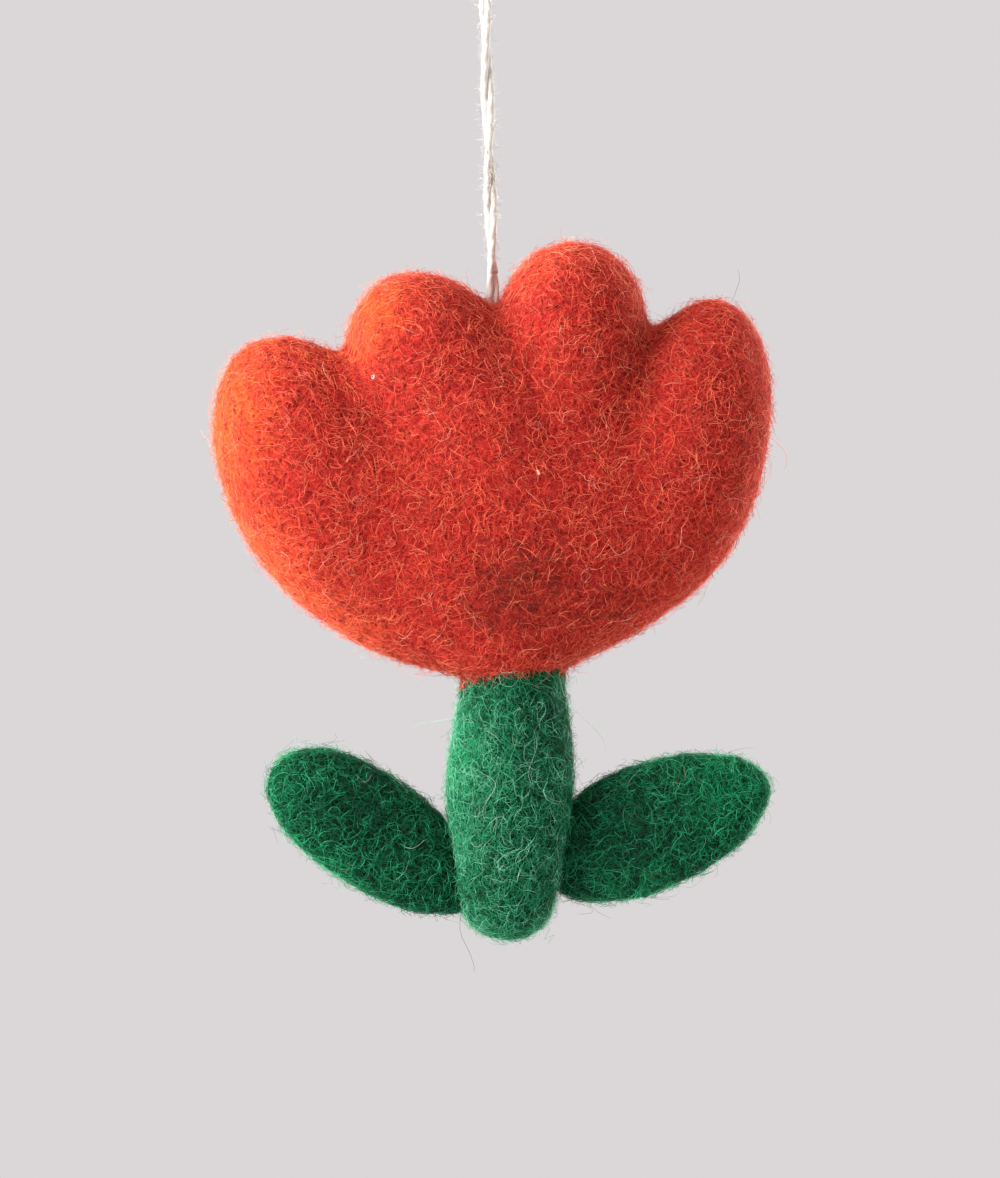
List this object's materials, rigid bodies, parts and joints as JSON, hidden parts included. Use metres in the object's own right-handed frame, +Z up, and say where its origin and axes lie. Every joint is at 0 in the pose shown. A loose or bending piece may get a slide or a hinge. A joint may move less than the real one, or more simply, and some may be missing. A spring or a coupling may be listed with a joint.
{
  "type": "felt flower ornament",
  "caption": "Needle-felted flower with rounded petals, a stem and plump leaves, hung by the notch between its petals from a doubled cotton string with an open loop.",
  "frame": {"origin": "underside of the string loop's crown, where a hook or twig carries the ornament", "axes": "+Z up along the hanging string, +X to the right as the flower is seen from the front, +Y to the back"},
  "size_m": [0.08, 0.028, 0.1758],
  "materials": {
    "cotton_string": "matte off-white twisted cotton",
    "red_felt": "matte red-orange needle felt with short stray fibres",
    "raw_wool": "undyed carded wool",
    "stem_green_felt": "matte green needle felt with pale stray fibres",
    "leaf_green_felt": "matte dark green needle felt with pale stray fibres"
  },
  "bodies": {
    "hanger": {"loop_eye": "cotton_string"},
    "string": {"string_leg_left": "cotton_string", "string_leg_right": "cotton_string"},
    "ornament": {"anchor_knot": "cotton_string", "flower_cover": "red_felt", "flower_core": "raw_wool", "stem_cover": "stem_green_felt", "stem_core": "raw_wool", "left_leaf": "leaf_green_felt", "right_leaf": "leaf_green_felt"}
  },
  "joints": [
    {"name": "string_twist", "type": "hinge", "parent": "hanger", "child": "string", "pos_m": [0, 0, -0.024], "axis": [0, 0, 1], "range_deg": [-170, 170]},
    {"name": "ornament_nod", "type": "hinge", "parent": "string", "child": "ornament", "pos_m": [0, 0, -0.082], "axis": [1, 0, 0], "range_deg": [-60, 60]}
  ]
}
